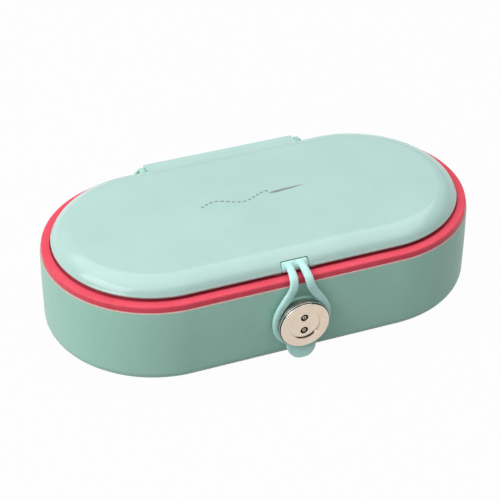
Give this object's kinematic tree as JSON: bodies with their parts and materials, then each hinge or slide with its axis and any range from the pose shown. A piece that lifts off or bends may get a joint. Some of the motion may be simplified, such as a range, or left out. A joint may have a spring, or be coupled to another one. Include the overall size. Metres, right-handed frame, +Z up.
{
  "type": "sewing case",
  "caption": "Oval hinged sewing case with a fitted inner tray, a rim band, a cushioned lid and a soft loop that hooks over a round stud to hold it shut.",
  "frame": {"origin": "middle of the tub's flat underside, on the surface that the case stands on", "axes": "+X along the case's length, +Y towards the hinge so that the stud and loop face -Y, +Z up through the lid"},
  "size_m": [0.198, 0.1086, 0.048],
  "materials": {
    "case_mint": "satin moulded plastic, mint green",
    "lid_mint": "polished moulded plastic, pale mint green",
    "tray_coral": "smooth moulded plastic, coral red",
    "strap_silicone": "soft satin silicone rubber, mint green",
    "nickel": "polished nickel plate",
    "pin_steel": "drawn steel wire",
    "screw_steel": "zinc-plated steel",
    "divider_clear": "milky translucent moulded plastic",
    "rack_white": "fine-textured white plastic",
    "liner_white": "fine-textured off-white plastic",
    "pad_felt": "cream wool felt over foam",
    "elastic": "ribbed coral elastic webbing"
  },
  "bodies": {
    "root": {"base_shell": "case_mint", "rim_tray": "tray_coral", "tray_screws": "screw_steel", "cross_dividers": "divider_clear", "long_divider": "divider_clear", "spool_rack": "rack_white", "hinge_pin": "pin_steel", "button_cap": "nickel", "button_stud": "nickel", "button_washer": "screw_steel", "button_screw": "screw_steel"},
    "lid": {"lid_shell": "lid_mint", "lid_liner": "liner_white", "liner_screws": "screw_steel", "needle_pad": "pad_felt", "needle_pad_frame": "tray_coral", "tool_band": "elastic", "band_rivets": "nickel", "strap_pin": "pin_steel"},
    "strap": {"strap_loop": "strap_silicone"}
  },
  "joints": [
    {"name": "lid_hinge", "type": "hinge", "parent": "root", "child": "lid", "pos_m": [0, 0.0482, 0.0414], "axis": [-1, 0, 0], "range_deg": [0, 110], "deforming": ["strap_loop"]},
    {"name": "strap_swing", "type": "hinge", "parent": "lid", "child": "strap", "pos_m": [0, -0.044, 0.04235], "axis": [-1, 0, 0], "range_deg": [0, 60], "deforming": ["strap_loop"]}
  ]
}
